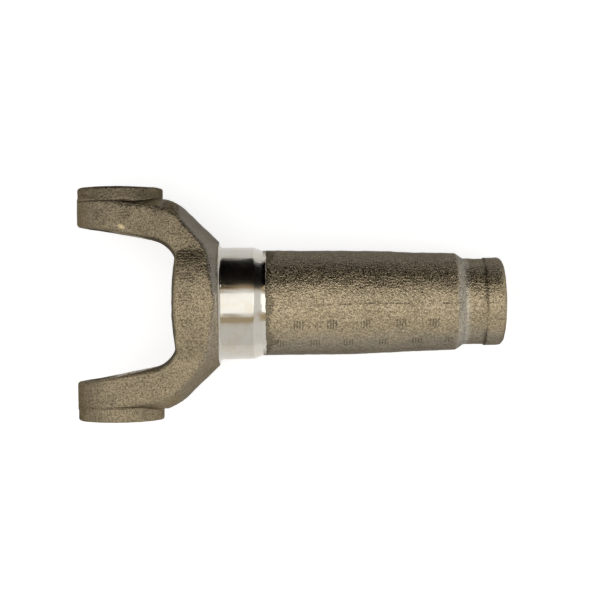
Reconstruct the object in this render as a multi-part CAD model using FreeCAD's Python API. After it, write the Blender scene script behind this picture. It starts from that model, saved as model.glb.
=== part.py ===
import FreeCAD, Part
import math
import os

from FreeCAD import Vector

# Forged slip yoke in one piece.
# Origin: centre of the cross bore. +X: towards the open end of the barrel.
# +Y: along the cross bore. +Z: square to both, so Z = 0 is the plane where the forging dies part.
# All sizes are in millimetres and all angles in degrees.

# Ears and the bore that holds the bearing cups
ear_radius = 20.0
ear_span = 107.0
boss_step = 5.2
boss_inset = 0.3
boss_base_width = 3.5
boss_edge_round = 1.3
cup_bore_diameter = 30.2
cup_bore_lead_in = 0.6
ring_groove_depth = 0.8
ring_groove_width = 1.7
ring_groove_from_face = 2.4

# Throat between the arms, at the parting plane
throat_depth = 23.4
throat_floor_crown = 1.5
throat_width_at_corner = 58.8
throat_corner_x = 14.8
throat_corner_width = 8.0
arm_flare = 10.4
arm_draft = 2.0
floor_draft = 6.0
throat_corner_round = 2.0
throat_edge_round = 1.5

# Front and back of the fork
hub_plate_start_x = 17.0
hub_plate_bend_radius = 60.0
hub_plate_rise = 2.3
crown_over_shoulder = 0.6
crown_flank_width = 12.1
crown_round = 30.0
crown_root_round = 9.0

# Bell: the outside of the arms and the shoulder, round about the barrel's axis
bell_below_boss_face = 2.5
bell_arm_taper = 5.5
bell_bend_radius = 24.0
shoulder_slope = 44.2
shoulder_x = 45.9
shoulder_step = 2.55
fork_edge_round = 2.2

# Turned neck behind the shoulder
neck_diameter = 51.7
neck_length = 15.9
neck_root_round = 1.9
neck_chamfer_length = 4.2
neck_chamfer_drop = 1.55

# Barrel, as forged: a slow taper, then a faster one
barrel_first_length = 47.0
barrel_first_drop = 0.4
barrel_second_length = 41.5
barrel_second_drop = 1.55
barrel_end_round = 2.0

# Boot seat and collar at the open end
seat_cone_length = 3.7
seat_drop = 2.55
seat_length = 9.6
seat_round = 2.0
collar_rise = 0.5
collar_length = 8.7
collar_edge_round = 2.8

# Splined bore, blind, open at the collar
spline_count = 16
spline_major_diameter = 31.75
spline_tooth_height = 3.02
spline_slot_width = 3.11
spline_depth = 92.5
spline_relief_length = 7.0
spline_relief_clearance = 0.42
mouth_clearance = 0.42
mouth_depth = 7.5
drill_point_angle = 118.0

# Sizes that follow from those above
half_span = ear_span / 2
half_plate = ear_radius + hub_plate_rise
boss_radius = ear_radius - boss_inset
bell_radius_at_bore = half_span - bell_below_boss_face
neck_radius = neck_diameter / 2
shoulder_radius = neck_radius + shoulder_step
half_crown = shoulder_radius + crown_over_shoulder
throat_kink_y = throat_width_at_corner / 2 - throat_corner_width
crown_foot_y = throat_width_at_corner / 2 - throat_corner_width / 2
crown_top_y = crown_foot_y - crown_flank_width
barrel_root_radius = neck_radius - neck_chamfer_drop
barrel_middle_radius = barrel_root_radius - barrel_first_drop
barrel_end_radius = barrel_middle_radius - barrel_second_drop
seat_radius = barrel_end_radius - seat_drop
collar_radius = seat_radius + collar_rise
neck_end_x = shoulder_x + neck_length
barrel_start_x = neck_end_x + neck_chamfer_length
barrel_middle_x = barrel_start_x + barrel_first_length
barrel_end_x = barrel_middle_x + barrel_second_length
seat_start_x = barrel_end_x + seat_cone_length
collar_start_x = seat_start_x + seat_length
end_x = collar_start_x + collar_length
spline_start_x = end_x - spline_depth
major_radius = spline_major_diameter / 2
minor_radius = major_radius - spline_tooth_height
past_all = end_x + ear_span

origin = Vector(0, 0, 0)
along_x = Vector(1, 0, 0)
along_y = Vector(0, 1, 0)
along_z = Vector(0, 0, 1)


def sine(angle):
    return math.sin(math.radians(angle))


def cosine(angle):
    return math.cos(math.radians(angle))


def tangent(angle):
    return math.tan(math.radians(angle))


def line(start, end):
    return Part.LineSegment(start, end).toShape()


def arc(start, middle, end):
    return Part.Arc(start, middle, end).toShape()


def reflected(edges, normal):
    """The edges seen in the plane through the origin with this normal, last one first."""
    return [edge.mirror(origin, normal) for edge in reversed(edges)]


def with_mirror_image(solid, normal):
    return solid.fuse(solid.mirror(origin, normal)).removeSplitter()


def rounded_path(corners):
    """Edges along (point, radius) corners, with a tangent arc at each corner that has a radius."""
    edges = []
    count = len(corners)
    start = None
    for index in range(count + 1):
        point, radius = corners[index % count]
        before = (corners[index - 1][0] - point).normalize()
        after = (corners[(index + 1) % count][0] - point).normalize()
        opening = before.getAngle(after)
        cut_back = radius / math.tan(opening / 2)
        arc_start = point + before * cut_back
        arc_end = point + after * cut_back
        if start is not None and start.distanceToPoint(arc_start) > 1e-6:
            edges.append(line(start, arc_start))
        if radius > 0 and index < count:
            inward = (before + after).normalize()
            arc_middle = point + inward * (radius / math.sin(opening / 2) - radius)
            edges.append(arc(arc_start, arc_middle, arc_end))
        start = arc_end
    return edges


def turned(corners):
    """Solid turned about the X axis from (x, radius, corner round) rows."""
    path = [(Vector(x, 0, radius), corner_round) for x, radius, corner_round in corners]
    return Part.Face(Part.Wire(rounded_path(path))).revolve(origin, along_x, 360)


def skin(solid):
    return Part.Shell(solid.Faces)


def middle_of(edge):
    return edge.valueAt((edge.FirstParameter + edge.LastParameter) / 2)


def distance_to(shape, edge):
    """Distance from the middle of the edge to the shape."""
    return Part.Vertex(middle_of(edge)).distToShape(shape)[0]


def throat_outline(height):
    """Closed outline of the space between the arms, at this height from the parting plane.

    Each arm's face runs into a corner arc, which ends at a kink on the crowned floor.
    """
    arm_inset = height * tangent(arm_draft)
    floor_inset = height * tangent(floor_draft)
    flare = Vector(-cosine(arm_flare), sine(arm_flare), 0)
    outward = Vector(sine(arm_flare), cosine(arm_flare), 0)
    foot_at_parting = Vector(throat_corner_x, throat_width_at_corner / 2, height)
    arm_foot = foot_at_parting + outward * arm_inset - flare * floor_inset
    arm_end = arm_foot + flare * past_all
    floor_x = throat_depth + floor_inset
    kink = Vector(floor_x + throat_floor_crown, throat_kink_y + arm_inset, height)

    # the corner arc starts along the arm's face, and passes through the end of the floor
    across = kink - arm_foot
    corner_radius = -across.dot(across) / (2 * across.dot(outward))
    corner_centre = arm_foot - outward * corner_radius
    halfway = (outward * corner_radius + kink - corner_centre).normalize()
    corner_middle = corner_centre + halfway * corner_radius

    side = [line(arm_end, arm_foot), arc(arm_foot, corner_middle, kink)]
    floor = arc(kink, Vector(floor_x, 0, height), Vector(kink.x, -kink.y, height))
    mouth = line(Vector(arm_end.x, -arm_end.y, height), arm_end)
    return Part.Wire(side + [floor] + reflected(side, along_y) + [mouth])


def throat():
    """Space between the arms, wider towards both faces by the forging draft."""
    half = Part.makeLoft([throat_outline(0), throat_outline(2 * half_crown)], True, True)
    return with_mirror_image(half, along_z)


def crowned_bar():
    """Bar along X whose cross-section has flat arms and, between them, a crowned hub with a flat crest."""
    quarter = [
        (ear_span, half_plate, 0),
        (crown_foot_y, half_plate, crown_root_round),
        (crown_top_y, half_crown, crown_round),
    ]
    upper = quarter + [(-y, z, corner_round) for y, z, corner_round in reversed(quarter)]
    lower = [(-y, -z, corner_round) for y, z, corner_round in upper]
    path = [(Vector(-past_all, y, z), corner_round) for y, z, corner_round in upper + lower]
    return Part.Face(Part.Wire(rounded_path(path))).extrude(along_x * 2 * past_all)


def side_plate():
    """Plate as wide as the fork, with the outline seen along the bore: round ears that widen."""
    corner = Vector(hub_plate_start_x, 0, half_plate)
    slope = math.acos(ear_radius / corner.Length) - math.atan2(corner.x, corner.z)
    touch = Vector(-math.sin(slope), 0, math.cos(slope)) * ear_radius
    cut_back = hub_plate_bend_radius * math.tan(slope / 2)
    bend_start = corner - (corner - touch).normalize() * cut_back
    bend_end = corner + along_x * cut_back
    bend_centre = bend_end - along_z * hub_plate_bend_radius
    bend_top = Vector(-math.sin(slope / 2), 0, math.cos(slope / 2)) * hub_plate_bend_radius
    step = Vector(bend_end.x, 0, 2 * half_crown)
    rear = Vector(past_all, 0, 2 * half_crown)
    upper = [
        line(touch, bend_start),
        arc(bend_start, bend_centre + bend_top, bend_end),
        line(bend_end, step),
        line(step, rear),
    ]
    back = line(rear, Vector(rear.x, 0, -rear.z))
    tip = arc(Vector(touch.x, 0, -touch.z), Vector(-ear_radius, 0, 0), touch)
    outline = Part.Face(Part.Wire(upper + [back] + reflected(upper, along_z) + [tip]))
    outline.translate(along_y * -past_all)
    return outline.extrude(along_y * 2 * past_all)


def bell():
    """Outside of arms and shoulder: a slow taper that bends into the steep shoulder cone."""
    arm_fall = tangent(bell_arm_taper)
    cone_fall = tangent(shoulder_slope)
    rise = shoulder_radius + cone_fall * shoulder_x - bell_radius_at_bore
    corner_x = rise / (cone_fall - arm_fall)
    front_x = -2 * ear_radius
    rear_x = shoulder_x + shoulder_radius / 2
    return turned([
        (front_x, 0, 0),
        (front_x, bell_radius_at_bore - arm_fall * front_x, 0),
        (corner_x, bell_radius_at_bore - arm_fall * corner_x, bell_bend_radius),
        (rear_x, shoulder_radius - cone_fall * (rear_x - shoulder_x), 0),
        (rear_x, 0, 0),
    ])


def forged_fork():
    """Arms and hub as forged, with every outside edge and the throat's corners rounded."""
    faces = crowned_bar().common(side_plate())
    outside = bell()
    opening = throat()
    fork = faces.common(outside).cut(opening)
    face_skin = skin(faces)
    outside_skin = skin(outside)
    opening_skin = skin(opening)

    def on_faces(edge):
        return distance_to(face_skin, edge) < 0.01

    def on_outside(edge):
        return distance_to(outside_skin, edge) < 0.01

    def at_kink(edge):
        return not on_faces(edge) and middle_of(edge).x > throat_depth and abs(middle_of(edge).z) > 1

    def at_throat_rim(edge):
        near = distance_to(opening_skin, edge) < throat_corner_round
        return near and on_faces(edge) and not on_outside(edge)

    def at_outer_rim(edge):
        return on_faces(edge) and on_outside(edge) and distance_to(opening_skin, edge) > 0.01

    kinks = [edge for edge in fork.Edges if distance_to(opening_skin, edge) < 0.01 and at_kink(edge)]
    fork = fork.makeFillet(throat_corner_round, kinks)
    fork = fork.makeFillet(throat_edge_round, [edge for edge in fork.Edges if at_throat_rim(edge)])
    return fork.makeFillet(fork_edge_round, [edge for edge in fork.Edges if at_outer_rim(edge)])


def faced(fork):
    """The fork with its shoulder faced square, and the base of each boss turned flat."""
    behind = Part.makeBox(past_all, past_all, past_all, Vector(shoulder_x, -past_all / 2, -past_all / 2))
    base_y = half_span - boss_step
    outer = Part.makeCylinder(boss_radius + boss_base_width, past_all, along_y * base_y, along_y)
    inner = Part.makeCylinder(boss_radius, past_all, along_y * base_y, along_y)
    ring = outer.cut(inner)
    return fork.cut([behind, ring, ring.mirror(origin, along_y)])


def boss():
    """Round boss with the flat machined face, on the outside of one ear."""
    height = 2 * boss_step
    cylinder = Part.makeCylinder(boss_radius, height, along_y * (half_span - height), along_y)
    rim = [edge for edge in cylinder.Edges if edge.Closed and middle_of(edge).y > half_span - 0.01]
    return cylinder.makeFillet(boss_edge_round, rim)


def stem():
    """Turned neck, forged barrel, boot seat and collar, in one turned solid."""
    root_x = shoulder_x - neck_root_round
    root_radius = neck_radius + neck_root_round
    return turned([
        (root_x, 0, 0),
        (root_x, root_radius, 0),
        (shoulder_x, root_radius, 0),
        (shoulder_x, neck_radius, neck_root_round),
        (neck_end_x, neck_radius, 0),
        (barrel_start_x, barrel_root_radius, 0),
        (barrel_middle_x, barrel_middle_radius, 0),
        (barrel_end_x, barrel_end_radius, barrel_end_round),
        (seat_start_x, seat_radius, seat_round),
        (collar_start_x, seat_radius, 0),
        (collar_start_x, collar_radius, 0),
        (end_x, collar_radius, collar_edge_round),
        (end_x, 0, 0),
    ])


def spline_bore():
    """Blind bore with straight-sided slots, a relief behind them and a plain mouth."""
    relief_x = spline_start_x - spline_relief_length
    relief_radius = major_radius + spline_relief_clearance
    point_x = relief_x - relief_radius / tangent(drill_point_angle / 2)
    mouth_radius = major_radius + mouth_clearance
    mouth_x = end_x - mouth_depth
    hollow = turned([
        (point_x, 0, 0),
        (relief_x, relief_radius, 0),
        (spline_start_x, relief_radius, 0),
        (spline_start_x, minor_radius, 0),
        (mouth_x, minor_radius, 0),
        (mouth_x, mouth_radius, 0),
        (end_x, mouth_radius, 0),
        (end_x, 0, 0),
    ])
    start = along_x * spline_start_x
    length = mouth_x - spline_start_x
    slot = Part.makeBox(length, spline_slot_width, major_radius, start - along_y * (spline_slot_width / 2))
    slots = [slot.rotated(origin, along_x, 360 * index / spline_count) for index in range(spline_count)]
    major = Part.makeCylinder(major_radius, length, start, along_x)
    return hollow.fuse(slots[0].fuse(slots[1:]).common(major)).removeSplitter()


def cross_bore():
    """Through bore of both ears, with a lead-in and a retaining-ring groove in each."""
    radius = cup_bore_diameter / 2
    face = along_y * half_span
    groove_end = face - along_y * ring_groove_from_face
    bore = Part.makeCylinder(radius, ear_span, -face, along_y)
    lead_in = Part.makeCone(radius + cup_bore_lead_in, radius, cup_bore_lead_in, face, -along_y)
    groove = Part.makeCylinder(radius + ring_groove_depth, ring_groove_width, groove_end, -along_y)
    cuts = [lead_in, groove]
    return bore.fuse(cuts + [cut.mirror(origin, along_y) for cut in cuts])


def yoke():
    """The whole forging with its machined surfaces."""
    bosses = [boss(), boss().mirror(origin, along_y)]
    body = faced(forged_fork()).fuse(bosses + [stem()]).removeSplitter()
    return body.cut(cross_bore()).cut(spline_bore())


def main():
    os.makedirs("parts", exist_ok=True)
    solid = yoke()
    solid.exportStep("parts/forged_yoke.step")
    print("solids", len(solid.Solids), "valid", solid.isValid(), "volume", round(solid.Volume))


main()
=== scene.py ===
"""Looks of the forged slip yoke: its skin, its turned surfaces, the floor, the light and the camera."""
import logging
import math
from dataclasses import dataclass, field
from enum import Enum
from typing import Any, Union

import bpy
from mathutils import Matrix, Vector


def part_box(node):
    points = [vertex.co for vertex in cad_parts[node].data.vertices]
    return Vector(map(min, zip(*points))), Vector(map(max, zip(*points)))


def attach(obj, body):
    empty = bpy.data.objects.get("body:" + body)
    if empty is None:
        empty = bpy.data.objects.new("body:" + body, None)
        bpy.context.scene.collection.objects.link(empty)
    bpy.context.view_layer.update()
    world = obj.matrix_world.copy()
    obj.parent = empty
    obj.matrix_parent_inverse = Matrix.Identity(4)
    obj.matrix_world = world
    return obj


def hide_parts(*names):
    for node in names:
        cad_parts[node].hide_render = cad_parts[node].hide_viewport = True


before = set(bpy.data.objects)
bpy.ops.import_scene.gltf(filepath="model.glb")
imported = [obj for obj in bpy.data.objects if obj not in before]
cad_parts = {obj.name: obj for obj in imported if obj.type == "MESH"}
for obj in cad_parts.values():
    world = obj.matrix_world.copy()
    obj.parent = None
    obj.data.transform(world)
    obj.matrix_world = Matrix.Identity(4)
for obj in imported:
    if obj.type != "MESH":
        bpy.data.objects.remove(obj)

log = logging.getLogger("yoke")
MM = 0.001
TURN = 2 * math.pi
DEGREES = 180 / math.pi
WHITE = (1.0, 1.0, 1.0)
Colour = tuple[float, float, float]
Place = tuple[float, float, float]
Span = tuple[float, float]
Number = Union[float, "Wire"]


class Finish(Enum):
    """The finishes on the one piece, in the order of its material slots."""

    FORGED = 0
    TURNED = 1
    FACED = 2
    BORED = 3


class Home(Enum):
    """What a node tree belongs to, by the type of its output node."""

    MATERIAL = "ShaderNodeOutputMaterial"
    WORLD = "ShaderNodeOutputWorld"


class Wire:
    """A number inside a node tree that takes part in Python expressions."""

    def __init__(self, bench: "Bench", socket: Any) -> None:
        """Args: bench: the tree it belongs to. socket: the output that carries it."""
        self.bench = bench
        self.socket = socket

    def __add__(self, other: Number) -> "Wire":
        """Returns: the sum."""
        return self.bench.math("ADD", self, other)

    def __sub__(self, other: Number) -> "Wire":
        """Returns: the difference."""
        return self.bench.math("SUBTRACT", self, other)

    def __rsub__(self, other: Number) -> "Wire":
        """Returns: the difference, taken from the other."""
        return self.bench.math("SUBTRACT", other, self)

    def __mul__(self, other: Number) -> "Wire":
        """Returns: the product."""
        return self.bench.math("MULTIPLY", self, other)

    def __truediv__(self, other: Number) -> "Wire":
        """Returns: the quotient."""
        return self.bench.math("DIVIDE", self, other)

    def __abs__(self) -> "Wire":
        """Returns: the size of the number."""
        return self.bench.math("ABSOLUTE", self)

    __radd__ = __add__
    __rmul__ = __mul__


@dataclass
class Bench:
    """One node tree, of a material or of the world, and the tools that add to it."""

    name: str
    home: Home = Home.MATERIAL
    owner: Any = field(init=False)
    tree: Any = field(init=False)
    place: Any = field(init=False, default=None)

    def __post_init__(self) -> None:
        """Makes the owner and empties its tree. A material's tree gets the coordinates in millimetres."""
        library = bpy.data.materials if self.home is Home.MATERIAL else bpy.data.worlds
        self.owner = library.new(self.name)
        self.owner.use_nodes = True
        self.tree = self.owner.node_tree
        self.tree.nodes.clear()
        if self.home is Home.MATERIAL:
            where = self.node("ShaderNodeTexCoord").outputs["Object"]
            scaled = self.node("ShaderNodeVectorMath", {"operation": "SCALE"}, {0: where, "Scale": 1 / MM})
            self.place = scaled.outputs[0]

    def node(self, kind: str, settings: dict[str, Any] | None = None,
             inputs: dict[Any, Any] | None = None) -> Any:
        """Adds one node.

        Args:
            kind: the node's type.
            settings: its own settings, set first.
            inputs: values, sockets or wires for its inputs, by name or number.

        Returns:
            The node.
        """
        made = self.tree.nodes.new(kind)
        for key, value in (settings or {}).items():
            setattr(made, key, value)
        for key, value in (inputs or {}).items():
            socket = made.inputs[key]
            source = value.socket if isinstance(value, Wire) else value
            if isinstance(source, bpy.types.NodeSocket):
                self.tree.links.new(source, socket)
            elif isinstance(source, tuple) and socket.type == "RGBA":
                socket.default_value = (*source, 1.0)
            else:
                socket.default_value = source
        return made

    def math(self, operation: str, *values: Number) -> Wire:
        """Args: operation: the sum to do. values: its numbers. Returns: the result."""
        made = self.node("ShaderNodeMath", {"operation": operation}, dict(enumerate(values)))
        return Wire(self, made.outputs[0])

    def axes(self) -> tuple[Wire, Wire, Wire]:
        """Returns: the three coordinates in millimetres."""
        parts = self.node("ShaderNodeSeparateXYZ", inputs={0: self.place})
        return Wire(self, parts.outputs[0]), Wire(self, parts.outputs[1]), Wire(self, parts.outputs[2])

    def length(self, first: Wire, second: Wire) -> Wire:
        """Args: first, second: two coordinates. Returns: the distance from their origin."""
        return self.math("SQRT", first * first + second * second)

    def rise(self, value: Number, span: Span) -> Wire:
        """Args: value: what rises. span: where the rise starts and ends. Returns: 0 to 1, smoothly."""
        settings = {"interpolation_type": "SMOOTHSTEP"}
        made = self.node("ShaderNodeMapRange", settings, {0: value, 1: span[0], 2: span[1]})
        return Wire(self, made.outputs[0])

    def fall(self, value: Number, span: Span) -> Wire:
        """Args: value: what falls. span: where the fall starts and ends. Returns: 1 to 0, smoothly."""
        return 1.0 - self.rise(value, span)

    def grain(self, size: float, detail: float = 3.0, stretch: Place = (1.0, 1.0, 1.0),
              shift: float = 0.0) -> Wire:
        """Cloudy noise.

        Args:
            size: its grain in millimetres.
            detail: how many finer layers it has.
            stretch: how the coordinates are multiplied first.
            shift: moves the pattern, so that no two are alike.

        Returns:
            A number that mostly lies between 0.3 and 0.7.
        """
        moved = self.node("ShaderNodeVectorMath", {"operation": "MULTIPLY_ADD"},
                          {0: self.place, 1: stretch, 2: (shift, shift * 0.7, -shift)}).outputs[0]
        inputs = {"Vector": moved, "Scale": 1.0 / size, "Detail": detail, "Roughness": 0.6}
        return Wire(self, self.node("ShaderNodeTexNoise", inputs=inputs).outputs[0])

    def mix(self, share: Number, first: Any, second: Any) -> Any:
        """Args: share: how much of the second. first, second: colours. Returns: the mix's socket."""
        inputs = {0: share, 6: first, 7: second}
        return self.node("ShaderNodeMix", {"data_type": "RGBA"}, inputs).outputs[2]

    def bump(self, height: Wire) -> Any:
        """Args: height: in millimetres. Returns: the normal's socket."""
        inputs = {"Height": height, "Distance": MM, "Strength": 1.0}
        return self.node("ShaderNodeBump", inputs=inputs).outputs[0]

    def seen(self) -> Wire:
        """Returns: 1 for rays from the eye, in reflections and through glass, and 0 for the rest."""
        path = self.node("ShaderNodeLightPath")
        eye = Wire(self, path.outputs["Is Camera Ray"])
        gloss = Wire(self, path.outputs["Is Glossy Ray"])
        through = Wire(self, path.outputs["Is Transmission Ray"])
        return self.math("MINIMUM", eye + gloss + through, 1.0)

    def finished(self, shader: Any) -> Any:
        """Args: shader: the whole shader's socket. Returns: what the tree belongs to."""
        self.node(self.home.value, inputs={0: shader})
        return self.owner

    def metal(self, colour: Any, roughness: Any, normal: Any, edge: Colour = WHITE) -> Any:
        """Args: colour, roughness, normal: sockets. edge: tint at grazing angles. Returns: the material."""
        return self.finished(self.node("ShaderNodeBsdfPrincipled", inputs={
            "Base Color": colour, "Roughness": roughness, "Metallic": 1.0, "Normal": normal,
            "Specular Tint": edge}).outputs[0])

    def matt(self, colour: Colour) -> Any:
        """Args: colour: its colour. Returns: a matt shader's socket."""
        return self.node("ShaderNodeBsdfDiffuse", inputs={0: colour}).outputs[0]

    def glow(self, colour: Colour, strength: Number) -> Any:
        """Args: colour, strength: of the light. Returns: a glowing shader's socket."""
        return self.node("ShaderNodeEmission", inputs={0: colour, 1: strength}).outputs[0]


@dataclass(frozen=True)
class Ground:
    """A place on the forging in millimetres, with the noises and regions that its marks share.

    drift and jitter are the coarse and the fine-grained noise about zero. depth is how far the place lies
    inside the bell that bounds the fork.
    """

    bench: Bench
    x: Wire
    y: Wire
    z: Wire
    fine: Wire
    speckle: Wire
    patch: Wire
    broad: Wire
    drift: Wire
    jitter: Wire
    depth: Wire
    on_fork: Wire
    on_barrel: Wire


@dataclass(frozen=True)
class DieMarks:
    """Groups of short parallel marks that the dies left. Lengths are in millimetres."""

    line_pitch: float = 1.25
    line_edge: Span = (0.1, 0.7)
    pitch: float = 15.4
    first_x: float = 74.2
    phase: float = 8.5
    rows: Span = (24.5, 50.0)
    row_scale: float = 0.42
    half: float = 2.1
    end_soft: float = 0.3
    side_edge: Span = (-0.4, 0.2)
    worn_size: float = 9.0
    worn: Span = (0.22, 0.36)
    barrel_from: Span = (70.0, 74.0)
    barrel_to: Span = (150.0, 154.0)
    fork_groups: tuple[Span, ...] = (
        (-8.0, 41.5), (4.0, 41.0), (31.0, 21.5), (32.0, 12.0), (31.5, 3.5), (32.0, -8.5), (-3.0, -43.0))
    fork_squeeze: float = 0.85
    fork_edge: Span = (1.9, 2.5)
    fork_height: Span = (14.0, 18.0)
    fork_share: float = 0.4

    def lines(self, ground: Ground, along: Wire) -> Wire:
        """Args: ground: the place. along: what the lines cross. Returns: 1 on a line and 0 between two."""
        bench = ground.bench
        return bench.rise(bench.math("SINE", along * (TURN / self.line_pitch)), self.line_edge)

    def on_barrel(self, ground: Ground) -> Wire:
        """Staggered rows round the barrel.

        Args:
            ground: the place.

        Returns:
            1 on a mark and 0 elsewhere.
        """
        bench, x, y = ground.bench, ground.x, ground.y
        inner_row, outer_row = self.rows
        lean = abs(bench.math("ARCTAN2", y, abs(ground.z)) * DEGREES)
        inner = bench.math("LESS_THAN", lean, (inner_row + outer_row) / 2)
        across = bench.math("MINIMUM", abs(lean - inner_row), abs(lean - outer_row)) * self.row_scale
        stagger = inner * bench.math("LESS_THAN", y, 0.0) * 0.5
        along = (x - self.first_x) / self.pitch + stagger + self.phase
        offset = abs(along - bench.math("FLOOR", along) - 0.5) * self.pitch
        group = bench.fall(offset, (self.half, self.half + self.end_soft))
        group = group * bench.fall(across, (self.half + self.side_edge[0], self.half + self.side_edge[1]))
        group = group * bench.rise(x, self.barrel_from) * bench.fall(x, self.barrel_to)
        kept = bench.rise(bench.grain(self.worn_size, 1.0, shift=31.0), self.worn)
        return group * self.lines(ground, x) * kept

    def faces(self, ground: Ground) -> Wire:
        """Groups on the front and back of the ears and the hub.

        Args:
            ground: the place.

        Returns:
            fork_share on a mark and 0 elsewhere.
        """
        bench = ground.bench
        found: Number = 0.0
        for middle_x, middle_y in self.fork_groups:
            off = bench.math("MAXIMUM", abs(ground.x - middle_x) * self.fork_squeeze, abs(ground.y - middle_y))
            found = bench.math("MAXIMUM", found, bench.fall(off, self.fork_edge))
        marks = found * self.lines(ground, ground.y)
        return marks * bench.rise(abs(ground.z), self.fork_height) * self.fork_share

    def all(self, ground: Ground) -> Wire:
        """Args: ground: the place. Returns: the marks of the barrel and of the fork."""
        return self.on_barrel(ground) + self.faces(ground)


@dataclass(frozen=True)
class ForkMarks:
    """What the fork shows of its forging and handling, with painted shade on its throat walls, its rough band
    and the +Y trim line. Lengths are in millimetres.
    """

    draft_wander: float = 2.4
    draft_depth: Span = (0.1, 1.5)
    draft_from: Span = (16.0, 24.0)
    draft_side: Span = (-10.0, 10.0)
    draft_least: float = 0.45
    band_wander: float = 4.0
    band_from: Span = (0.2, 0.8)
    band_to: Span = (0.9, 2.6)
    band_height: Span = (4.0, 12.0)
    band_gap_size: float = 2.2
    band_gaps: Span = (0.34, 0.58)
    band_side: Span = (0.0, 12.0)
    band_least: float = 0.25
    face_height: float = 20.3
    face_rise: float = 2.0
    face_rise_x: Span = (4.0, 18.0)
    crown_rise: float = 6.7
    crown_y: Span = (11.0, 26.0)
    crown_x: Span = (8.0, 12.0)
    wall_edge: Span = (0.6, 1.6)
    wall_depth: Span = (3.0, 5.0)
    wall_from: Span = (2.0, 8.0)
    nick_at: Span = (2.7, 35.0)
    nick_squeeze: float = 0.62
    nick_lean: float = 0.4
    nick_fray: Span = (2.4, 1.6)
    nick_edge: Span = (0.5, 1.2)
    nick_height: Span = (10.0, 15.0)
    flash_y: float = 47.0
    flash_wander: float = 0.6
    flash_edge: Span = (0.15, 0.45)
    flash_to: Span = (4.0, 10.0)
    flash_height: Span = (4.0, 8.0)

    def draft(self, ground: Ground) -> Wire:
        """Args: ground: the place. Returns: 1 on the smoother, greyer draft behind the arms."""
        bench = ground.bench
        inside = ground.depth + ground.drift * self.draft_wander + ground.jitter
        found = bench.fall(inside, self.draft_depth) * ground.on_fork * bench.rise(ground.x, self.draft_from)
        side = bench.rise(ground.y, self.draft_side) * (1.0 - self.draft_least)
        return found * (self.draft_least + side)

    def band(self, ground: Ground) -> Wire:
        """Args: ground: the place. Returns: 1 on the rough, broken band beside the draft, whose darkness is
        partly painted shade, most towards +Y.
        """
        bench = ground.bench
        inside = ground.depth + ground.drift * self.band_wander
        found = bench.rise(ground.depth, self.band_from) * bench.fall(inside, self.band_to) * ground.on_fork
        gaps = bench.rise(bench.grain(self.band_gap_size, shift=19.0), self.band_gaps)
        side = bench.rise(ground.y, self.band_side) * (1.0 - self.band_least)
        return found * bench.rise(abs(ground.z), self.band_height) * gaps * (self.band_least + side)

    def wall(self, ground: Ground) -> Wire:
        """Args: ground: the place. Returns: 1 on the throat's walls, out of the light, which get painted shade.
        """
        bench = ground.bench
        crown = bench.fall(abs(ground.y), self.crown_y) * self.crown_rise * bench.rise(ground.x, self.crown_x)
        face = self.face_height + bench.rise(ground.x, self.face_rise_x) * self.face_rise + crown
        below = face - abs(ground.z) + ground.jitter * 2.0
        found = bench.rise(below, self.wall_edge) * bench.rise(ground.depth, self.wall_depth)
        return found * ground.on_fork * bench.rise(ground.x, self.wall_from)

    def nick(self, ground: Ground) -> Wire:
        """Args: ground: the place. Returns: 1 on the fresh nick on the front of one arm."""
        bench = ground.bench
        fine_fray, coarse_fray = self.nick_fray
        off_x = (ground.x - self.nick_at[0]) * self.nick_squeeze
        off_y = ground.y - self.nick_at[1] + off_x * self.nick_lean
        off = bench.length(off_x, off_y) + (ground.fine - 0.5) * fine_fray + ground.jitter * coarse_fray
        return bench.fall(off, self.nick_edge) * bench.rise(ground.z, self.nick_height)

    def flash(self, ground: Ground) -> Wire:
        """Args: ground: the place. Returns: 1 on the line where each boss meets its ear."""
        bench = ground.bench
        off = abs(abs(ground.y) - self.flash_y + ground.drift * self.flash_wander)
        found = bench.fall(off, self.flash_edge) * bench.fall(ground.x, self.flash_to)
        return found * bench.rise(abs(ground.z), self.flash_height)


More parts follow.
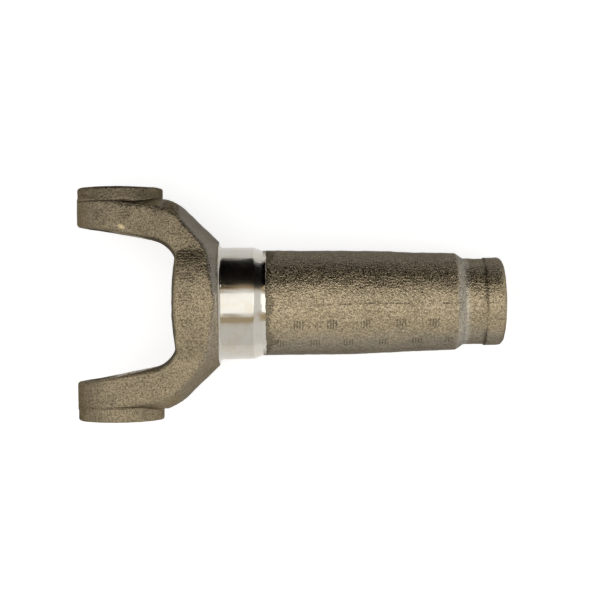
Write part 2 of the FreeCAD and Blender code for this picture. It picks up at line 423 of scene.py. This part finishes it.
@dataclass(frozen=True)
class StemMarks:
    """What the barrel and the boot seat show of their forging, with painted shade on the stem's sides and in
    the crease before the collar. Lengths are in millimetres.
    """

    ragged_wander: Span = (16.0, 5.0)
    ragged_to: Span = (68.5, 70.5)
    shaved_from: Span = (60.0, 61.0)
    shaved_wander: float = 1.2
    shaved_to: Span = (67.3, 67.7)
    seam_angle: float = -1.5
    seam_wander: float = 5.0
    seam_edge: Span = (0.35, 0.9)
    seam_gap_size: float = 14.0
    seam_gaps: Span = (0.42, 0.55)
    side_wander: float = 40.0
    side_angle: Span = (26.0, 58.0)
    seat_wander: Span = (2.0, 3.0)
    seat_from: Span = (153.6, 155.4)
    seat_to: Span = (158.6, 161.0)
    crease_x: float = 167.5
    crease_wander: float = 1.6
    crease_edge: Span = (0.2, 1.6)
    crease_gaps: Span = (0.36, 0.6)

    def ragged(self, ground: Ground) -> Wire:
        """Args: ground: the place. Returns: 1 on the ragged start of the barrel's skin."""
        coarse, fine = self.ragged_wander
        along = ground.x + ground.drift * coarse + ground.jitter * fine
        return ground.bench.fall(along, self.ragged_to) * ground.on_barrel

    def shaved(self, ground: Ground) -> Wire:
        """Args: ground: the place. Returns: 1 where the neck's tool ran on into the barrel."""
        bench = ground.bench
        along = ground.x + ground.drift * self.shaved_wander + ground.jitter
        return bench.fall(along, self.shaved_to) * bench.rise(ground.x, self.shaved_from)

    def seam(self, ground: Ground) -> Wire:
        """Args: ground: the place. Returns: 1 on the thin, broken line along the barrel's top."""
        bench = ground.bench
        angle = bench.math("ARCTAN2", ground.y, ground.z) * DEGREES
        off = abs(angle - self.seam_angle + (ground.broad - 0.5) * self.seam_wander)
        gaps = bench.rise(bench.grain(self.seam_gap_size, 2.0, shift=23.0), self.seam_gaps)
        return bench.fall(off, self.seam_edge) * ground.on_barrel * gaps

    def side(self, ground: Ground) -> Wire:
        """Args: ground: the place. Returns: 1 on the stem's sides, which are greyer and darker with painted
        shade.
        """
        bench = ground.bench
        lean = abs(bench.math("ARCTAN2", ground.y, abs(ground.z)) * DEGREES)
        return bench.rise(lean + ground.drift * self.side_wander, self.side_angle) * (1.0 - ground.on_fork)

    def seat_start(self, ground: Ground) -> Wire:
        """Args: ground: the place. Returns: 1 on the paler cone where the boot seat starts."""
        bench = ground.bench
        front, rear = self.seat_wander
        found = bench.rise(ground.x + ground.drift * front, self.seat_from)
        return found * bench.fall(ground.x + ground.drift * rear, self.seat_to)

    def crease_shade(self, ground: Ground) -> Wire:
        """Args: ground: the place. Returns: 1 on the broken crease in front of the end collar, which gets
        painted shade.
        """
        bench = ground.bench
        off = abs(ground.x - self.crease_x + ground.drift * self.crease_wander)
        return bench.fall(off, self.crease_edge) * bench.rise(ground.patch, self.crease_gaps)


@dataclass(frozen=True)
class ForgedSkin:
    """Blasted, lightly oiled steel as it left the dies, with painted shade and painted glints in its colour.
    Lengths are in millimetres.
    """

    tan: Colour = (0.460, 0.376, 0.242)
    brown: Colour = (0.175, 0.143, 0.095)
    glint_grey: Colour = (0.42, 0.40, 0.35)
    seat_grey: Colour = (0.52, 0.50, 0.45)
    draft_grey: Colour = (0.250, 0.235, 0.212)
    scale_and_shade_dark: Colour = (0.030, 0.024, 0.017)
    turned: Colour = (0.54, 0.51, 0.45)
    wall_painted_shade: Colour = (0.050, 0.046, 0.042)
    fresh: Colour = (0.62, 0.50, 0.29)
    side_grey_and_shade: Colour = (0.165, 0.155, 0.140)
    edge: Colour = (0.30, 0.29, 0.28)
    shoulder_x: float = 45.9
    shoulder_radius: float = 28.4
    cone_fall: float = 0.9725
    bell_at_bore: float = 51.0
    arm_fall: float = 0.0963
    fork_end: Span = (45.0, 46.5)
    barrel_start: Span = (66.0, 67.0)
    tone_edge: Span = (0.46, 0.70)
    grey_edge: Span = (0.60, 0.76)
    pit_edge: Span = (0.36, 0.46)
    pit_share: Span = (0.22, 0.38)
    tip_wander: float = 12.0
    tip_to: Span = (-14.0, 4.0)
    arm_shade_y: Span = (12.0, 34.0)
    far_arm_shade_y: Span = (8.0, 34.0)
    flash_shade_y: Span = (-5.0, 5.0)
    boss_wander: float = 1.5
    boss_y: Span = (47.4, 48.4)

    def ground(self, bench: Bench) -> Ground:
        """Args: bench: the tree. Returns: the place, with the noises and regions that the marks share."""
        x, y, z = bench.axes()
        speckle = bench.grain(0.95, 2.0, shift=7.0)
        patch = bench.grain(9.0, shift=3.0)
        cone = self.shoulder_radius + (self.shoulder_x - x) * self.cone_fall
        bell = bench.math("MINIMUM", self.bell_at_bore - x * self.arm_fall, cone)
        return Ground(
            bench, x, y, z,
            fine=bench.grain(0.42, 1.5), speckle=speckle, patch=patch, broad=bench.grain(32.0, 2.0, shift=11.0),
            drift=patch - 0.5, jitter=speckle - 0.5, depth=bell - bench.length(y, z),
            on_fork=bench.fall(x, self.fork_end), on_barrel=bench.rise(x, self.barrel_start))

    def base(self, ground: Ground, draft: Wire, stem: StemMarks) -> Any:
        """Args: ground: the place. draft: its share. stem: its marks. Returns: the skin's colour before the
        dark marks, with painted glints and painted shade on the stem's sides.
        """
        bench = ground.bench
        tone = ground.fine * 0.50 + ground.speckle * 0.45 + ground.patch * 0.12 + ground.broad * 0.10
        colour = bench.mix(bench.rise(tone, self.tone_edge), self.brown, self.tan)
        # Painted glints: grey flecks that stand in for the grain's bright glints.
        glints = bench.rise(ground.fine + ground.jitter * 0.6, self.grey_edge)
        colour = bench.mix(glints * 0.45, colour, self.glint_grey)
        colour = bench.mix(draft * 0.8, colour, self.draft_grey)
        # Painted shade: the stem turns greyer and darker towards its sides, partly a less blasted finish.
        colour = bench.mix(stem.side(ground) * 0.62, colour, self.side_grey_and_shade)
        return bench.mix(stem.seat_start(ground) * 0.42, colour, self.seat_grey)

    def darkest(self, ground: Ground, draft: Wire, shares: list[Wire]) -> Wire:
        """The share of dark scale and painted shade, which is that of the strongest mark.

        Args:
            ground: the place.
            draft: the draft's share, which stays clean.
            shares: what the single marks ask for.

        Returns:
            0 where the skin is clean, up to 1.
        """
        bench, x, y = ground.bench, ground.x, ground.y
        least_pits, fork_pits = self.pit_share
        # Painted shade: the ears' round tips are darkened where they turn away from the light.
        tip_shade = bench.fall(x + ground.drift * self.tip_wander, self.tip_to) * 0.42
        # Painted shade: the arms are darker away from the hub's middle, and darker still on the +Y side.
        arm_shade = 0.15 + bench.rise(abs(y), self.arm_shade_y) * 0.10 + bench.rise(y, self.far_arm_shade_y) * 0.15
        pits = bench.fall(ground.fine * 0.6 + ground.speckle * 0.4, self.pit_edge)
        pits = pits * (least_pits + ground.on_fork * fork_pits)
        # Painted shade: the +Y ear's boss is darkened beyond its trim line.
        boss_shade = bench.rise(y + ground.drift * self.boss_wander, self.boss_y) * (0.58 + pits * 0.3)
        clean = 1.0 - draft
        dark = shares[0]
        for share in [*shares[1:], tip_shade, ground.on_fork * arm_shade * (1.0 - draft * 0.9), pits * clean, boss_shade]:
            dark = bench.math("MAXIMUM", dark, share)
        return dark

    def build(self) -> Any:
        """Returns: the material."""
        bench = Bench("forged_skin")
        ground = self.ground(bench)
        fork, stem = ForkMarks(), StemMarks()
        draft, band, wall = fork.draft(ground), fork.band(ground), fork.wall(ground)
        flash, seam, ragged = fork.flash(ground), stem.seam(ground), stem.ragged(ground)
        shaved, marks = stem.shaved(ground), DieMarks().all(ground)

        # The trim line is dark on both ears; its extra darkness on the +Y ear is painted shade.
        flash_line_and_shade = 0.45 + bench.rise(ground.y, self.flash_shade_y) * 0.30
        dark = self.darkest(ground, draft, [
            # The rough band's darkness is partly painted shade.
            band * 0.62, ragged * 0.45, marks * 0.42, seam * 0.35, flash * flash_line_and_shade,
            # Painted shade in the crease before the end collar.
            stem.crease_shade(ground) * 0.5])
        # Dark scale and painted shade share this one colour.
        colour = bench.mix(dark, self.base(ground, draft, stem), self.scale_and_shade_dark)
        # Painted shade on the throat's walls.
        colour = bench.mix(wall * 0.62, colour, self.wall_painted_shade)
        colour = bench.mix(fork.nick(ground) * 0.9, colour, self.fresh)
        colour = bench.mix(shaved, colour, self.turned)

        rough = 0.14 + ground.patch * 0.10 + ground.fine * 0.12
        rough = rough + band * 0.14 + ground.on_fork * 0.15 + wall * 0.25
        rough = rough * (1.0 - shaved * 0.55)
        height = ground.fine * 0.20 + ground.speckle * 0.46 + ground.patch * 0.50 + ground.broad * 0.5
        height = height * (1.0 - draft * 0.6) + band * (ground.speckle * 0.7 - 0.45)
        height = height - marks * 0.45 - seam * 0.10 - ragged * 0.12 - flash * 0.25
        return bench.metal(colour, rough, bench.bump(height * (1.0 - shaved * 0.9)), self.edge)


@dataclass(frozen=True)
class TurnedSteel:
    """Bright steel with the fine lines of the lathe round the barrel's axis."""

    bright: Colour = (0.465, 0.442, 0.396)
    straw: Colour = (0.44, 0.380, 0.275)
    chamfer: Colour = (0.62, 0.60, 0.54)
    line_size: float = 0.30
    line_stretch: Place = (1.0, 0.012, 0.012)
    ridge_size: float = 1.6
    ridge_stretch: Place = (1.0, 0.01, 0.01)
    smear_size: float = 7.0
    smear_edge: Span = (0.42, 0.72)
    chamfer_x: Span = (61.6, 61.9)

    def build(self) -> Any:
        """Returns: the material."""
        bench = Bench("turned_steel")
        along = bench.axes()[0]
        lines = bench.grain(self.line_size, stretch=self.line_stretch)
        ridges = bench.grain(self.ridge_size, 2.0, stretch=self.ridge_stretch, shift=5.0)
        smear = bench.grain(self.smear_size, shift=13.0)
        stain = bench.rise(smear + (lines - 0.5) * 0.5, self.smear_edge)
        colour = bench.mix(stain * 0.5, self.bright, self.straw)
        colour = bench.mix(bench.rise(along, self.chamfer_x) * 0.35, colour, self.chamfer)
        rough = 0.10 + smear * 0.10 + lines * 0.10
        return bench.metal(colour, rough, bench.bump(lines * 0.010 + ridges * 0.012))


@dataclass(frozen=True)
class FacedSteel:
    """Milled or turned flats, with rings round the cross bore."""

    bright: Colour = (0.52, 0.50, 0.46)
    stained: Colour = (0.30, 0.27, 0.22)
    ring_pitch: float = 0.55
    smear_size: float = 6.0
    smear_edge: Span = (0.42, 0.66)
    fine_size: float = 0.5

    def build(self) -> Any:
        """Returns: the material."""
        bench = Bench("faced_steel")
        along, _, up = bench.axes()
        rings = bench.math("SINE", bench.length(along, up) * (TURN / self.ring_pitch))
        smear = bench.grain(self.smear_size, 4.0)
        fine = bench.grain(self.fine_size, 2.0, shift=9.0)
        colour = bench.mix(bench.rise(smear, self.smear_edge), self.bright, self.stained)
        rough = 0.27 + smear * 0.14 + fine * 0.06
        return bench.metal(colour, rough, bench.bump(rings * 0.006 + fine * 0.02))


@dataclass(frozen=True)
class BoredSteel:
    """Bored and broached steel with a film of oil that has browned in places."""

    clean: Colour = (0.40, 0.37, 0.32)
    browned: Colour = (0.22, 0.175, 0.115)
    smear_size: float = 5.0
    smear_edge: Span = (0.40, 0.64)
    fine_size: float = 0.45

    def build(self) -> Any:
        """Returns: the material."""
        bench = Bench("bored_steel")
        smear = bench.grain(self.smear_size, 4.0)
        fine = bench.grain(self.fine_size, 2.0, shift=4.0)
        colour = bench.mix(bench.rise(smear, self.smear_edge), self.clean, self.browned)
        return bench.metal(colour, 0.30 + smear * 0.16, bench.bump(fine * 0.03))


@dataclass
class Yoke:
    """The forging in one piece, with its machined surfaces.

    Lengths are in metres, from the centre of the cross bore.
    """

    node: str = "forged_yoke"
    slot: str = "forged_steel"
    neck_start: float = 0.0459
    barrel_start: float = 0.0660
    neck_inside: float = 0.0241
    boss_face: float = 0.0535
    face_slack: float = 0.0002
    square_to: float = 0.99
    ear_inside: float = 0.02
    groove_radius: float = 0.0162
    spline_room: float = 0.0165
    bore_end: float = 0.06
    near: float = 0.00001
    weld_within: float = 1e-6
    smooth_below: float = 32.0
    slice_every: float = 0.0022
    unevenness: tuple[tuple[str, float, float], ...] = (("dents", 0.0035, 0.00035), ("waves", 0.016, 0.0006))
    piece: Any = field(init=False, default=None)

    def copy_node(self) -> None:
        """Copies the node's mesh and joins its loose triangles."""
        bpy.ops.object.select_all(action="DESELECT")
        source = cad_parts[self.node]
        self.piece = bpy.data.objects.new("yoke", source.data.copy())
        bpy.context.scene.collection.objects.link(self.piece)
        self.piece.select_set(True)
        bpy.context.view_layer.objects.active = self.piece
        bpy.ops.object.mode_set(mode="EDIT")
        bpy.ops.mesh.select_all(action="SELECT")
        bpy.ops.mesh.customdata_custom_splitnormals_clear()
        bpy.ops.mesh.remove_doubles(threshold=self.weld_within)
        bpy.ops.object.mode_set(mode="OBJECT")

    def finish_of(self, centre: Vector, normal: Vector) -> Finish:
        """Args: centre, normal: of one face. Returns: the finish that the face has."""
        from_axis = math.hypot(centre.y, centre.z)
        from_bore = math.hypot(centre.x, centre.z)
        if from_axis < self.spline_room and centre.x > self.bore_end:
            return Finish.BORED
        if from_bore < self.groove_radius and abs(centre.y) > self.ear_inside:
            return Finish.BORED
        if abs(normal.y) > self.square_to and abs(centre.y) > self.boss_face - self.face_slack:
            return Finish.FACED
        on_neck = self.neck_start - self.near < centre.x < self.barrel_start
        return Finish.TURNED if on_neck and from_axis > self.neck_inside else Finish.FORGED

    def dress(self) -> None:
        """Gives each face its finish."""
        mesh = self.piece.data
        mesh.materials.clear()
        for finish in (ForgedSkin(), TurnedSteel(), FacedSteel(), BoredSteel()):
            mesh.materials.append(finish.build())
        for face in mesh.polygons:
            face.material_index = self.finish_of(face.center, face.normal).value

    def slice_skin(self) -> None:
        """Cuts the long faces across all three axes, so that the skin can be uneven."""
        low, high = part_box(self.node)
        bpy.ops.object.mode_set(mode="EDIT")
        for axis in range(3):
            direction = Vector((0.0, 0.0, 0.0))
            direction[axis] = 1.0
            count = int((high[axis] - low[axis]) / self.slice_every)
            for index in range(count):
                spot = direction * (low[axis] + (index + 0.5) * self.slice_every)
                bpy.ops.mesh.select_all(action="SELECT")
                bpy.ops.mesh.bisect(plane_co=spot, plane_no=direction, use_fill=False,
                                    clear_inner=False, clear_outer=False)
        bpy.ops.object.mode_set(mode="OBJECT")

    def roughen(self) -> None:
        """Makes the forged skin uneven, as dies and scale leave it, within the node's box, and smooths it."""
        mesh = self.piece.data
        machined = set()
        for face in mesh.polygons:
            if face.material_index != Finish.FORGED.value:
                machined.update(face.vertices)
        skin = self.piece.vertex_groups.new(name="skin")
        skin.add([vertex.index for vertex in mesh.vertices if vertex.index not in machined], 1.0, "REPLACE")
        for name, size, depth in self.unevenness:
            clouds = bpy.data.textures.new(name, "CLOUDS")
            clouds.noise_scale = size
            clouds.noise_depth = 2
            sink = self.piece.modifiers.new(name, "DISPLACE")
            sink.texture = clouds
            sink.texture_coords = "LOCAL"
            sink.vertex_group = skin.name
            sink.mid_level = 0.5
            sink.strength = depth
            bpy.ops.object.modifier_apply(modifier=sink.name)
        low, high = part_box(self.node)
        for vertex in mesh.vertices:
            vertex.co = Vector(min(max(vertex.co[axis], low[axis]), high[axis]) for axis in range(3))
        bpy.ops.object.shade_smooth_by_angle(angle=math.radians(self.smooth_below))

    def build(self) -> Any:
        """Returns: the finished piece, in the place of its node."""
        self.copy_node()
        self.dress()
        self.slice_skin()
        self.roughen()
        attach(self.piece, "root")
        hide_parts(self.node)
        return self.piece


@dataclass
class Studio:
    """White table, soft light from above and one side, and the camera. Lengths are in metres.

    The strips hang beside the softbox, each with its name, its lean from straight above towards +Y and the
    angle that it covers, both in degrees, and its colour.
    """

    touch_front: Span = (0.0459, -0.0290)
    touch_rear: Span = (0.1540, -0.0224)
    table_gap: float = 0.00005
    table_half: float = 1.5
    table_grey: Colour = (0.56, 0.56, 0.56)
    table_glow: float = 0.70
    table_fade: Span = (170.0, 330.0)
    card_at: Place = (0.08, 0.185, 0.128)
    card_size: Span = (0.60, 0.30)
    card_black: Colour = (0.006, 0.005, 0.004)
    strips: tuple[tuple[str, float, float, Colour], ...] = (
        ("strip_near", -32.0, 16.0, (0.58, 0.45, 0.25)), ("strip_far", 33.0, 11.0, (0.58, 0.40, 0.19)))
    strip_away: float = 0.75
    strip_length: float = 1.1
    strip_x: float = 0.08
    softbox_at: Place = (0.08, 0.03, 1.0)
    softbox_size: Span = (1.1, 0.74)
    softbox_strength: float = 1.05
    world_light: float = 0.80
    camera_at: Place = (0.07914, 0.001315, 0.70018)
    camera_roll: float = -0.4686
    lens: float = 90.58
    sensor: float = 36.0
    shift: float = 0.01393
    clip_start: float = 0.01

    def floor(self) -> Any:
        """Returns: the table's top, tilted so that the yoke lies on it as it comes to rest."""
        (x0, z0), (x1, z1) = self.touch_front, self.touch_rear
        tilt = math.atan2(z1 - z0, x1 - x0)
        bpy.ops.object.select_all(action="DESELECT")
        bpy.ops.mesh.primitive_grid_add(x_subdivisions=8, y_subdivisions=8, size=2 * self.table_half,
                                        location=(x0, 0, z0 - self.table_gap), rotation=(0, -tilt, 0))
        top = bpy.context.object
        top.name = "table"
        bench = Bench("table_white")
        along, aside, _ = bench.axes()
        glow = bench.glow(WHITE, bench.seen() * self.table_glow)
        near = bench.node("ShaderNodeAddShader", inputs={0: bench.matt(self.table_grey), 1: glow}).outputs[0]
        far = bench.glow(WHITE, bench.seen())
        inputs = {0: bench.rise(bench.length(along, aside), self.table_fade), 1: near, 2: far}
        both = bench.node("ShaderNodeMixShader", inputs=inputs).outputs[0]
        top.data.materials.append(bench.finished(both))
        return top

    def panel(self, name: str, place: Place, lean: float, size: Span, material: Any) -> Any:
        """Stands or hangs a flat panel that the camera doesn't see.

        Args:
            name: its name.
            place: its middle.
            lean: its turn about X, in radians.
            size: its length and width.
            material: its material.

        Returns:
            The panel.
        """
        bpy.ops.object.select_all(action="DESELECT")
        bpy.ops.mesh.primitive_grid_add(x_subdivisions=4, y_subdivisions=4, size=1.0,
                                        location=place, rotation=(lean, 0, 0))
        made = bpy.context.object
        made.name = name
        made.scale = (*size, 1.0)
        made.data.materials.append(material)
        made.visible_camera = False
        return made

    def dark_card(self) -> Any:
        """Returns: the dark card that stands at one side and gives the metal its dark edge."""
        bench = Bench("card_dark")
        material = bench.finished(bench.matt(self.card_black))
        return self.panel("card", self.card_at, math.radians(90), self.card_size, material)

    def warm_strip(self, name: str, lean: float, spread: float, colour: Colour) -> Any:
        """Args: name, lean, spread, colour: those of one of the strips. Returns: the strip."""
        angle = math.radians(lean)
        place = (self.strip_x, self.strip_away * math.sin(angle), self.strip_away * math.cos(angle))
        size = (self.strip_length, 2 * self.strip_away * math.tan(math.radians(spread / 2)))
        bench = Bench(name + "_glow")
        return self.panel(name, place, -angle, size, bench.finished(bench.glow(colour, 1.0)))

    def softbox(self) -> None:
        """Hangs the softbox, which faces straight down."""
        width, depth = self.softbox_size
        data = bpy.data.lights.new("overhead", "AREA")
        data.shape = "RECTANGLE"
        data.size, data.size_y = width, depth
        data.energy = self.softbox_strength * math.pi * width * depth
        made = bpy.data.objects.new("overhead", data)
        bpy.context.scene.collection.objects.link(made)
        made.location = self.softbox_at
        made.rotation_euler = Vector((0.0, 0.0, -1.0)).to_track_quat("-Z", "Y").to_euler()
        made.visible_camera = False

    def world(self) -> None:
        """Sets the world, white where it is seen and a little darker as a light."""
        bench = Bench("studio", Home.WORLD)
        level = bench.seen() * (1.0 - self.world_light) + self.world_light
        ground = bench.node("ShaderNodeBackground", inputs={0: WHITE, 1: level}).outputs[0]
        bpy.context.scene.world = bench.finished(ground)

    def camera(self) -> None:
        """Sets the camera straight above the part."""
        data = bpy.data.cameras.new("camera")
        data.lens = self.lens
        data.sensor_width = self.sensor
        data.shift_x = self.shift
        data.clip_start = self.clip_start
        made = bpy.data.objects.new("camera", data)
        bpy.context.scene.collection.objects.link(made)
        made.location = self.camera_at
        made.rotation_euler = (0.0, 0.0, math.radians(self.camera_roll))
        bpy.context.scene.camera = made

    def build(self) -> None:
        """Sets up the floor, the card, the light and the camera."""
        self.floor()
        self.dark_card()
        for strip in self.strips:
            self.warm_strip(*strip)
        self.softbox()
        self.world()
        self.camera()
        bpy.context.scene.view_settings.view_transform = "Standard"


def main() -> None:
    """Builds the yoke and the studio."""
    logging.basicConfig(level=logging.INFO, format="%(message)s")
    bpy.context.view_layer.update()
    piece = Yoke().build()
    log.info("%s: %d faces", piece.name, len(piece.data.polygons))
    Studio().build()
    log.info("studio ready")


if __name__ == "__main__":
    main()
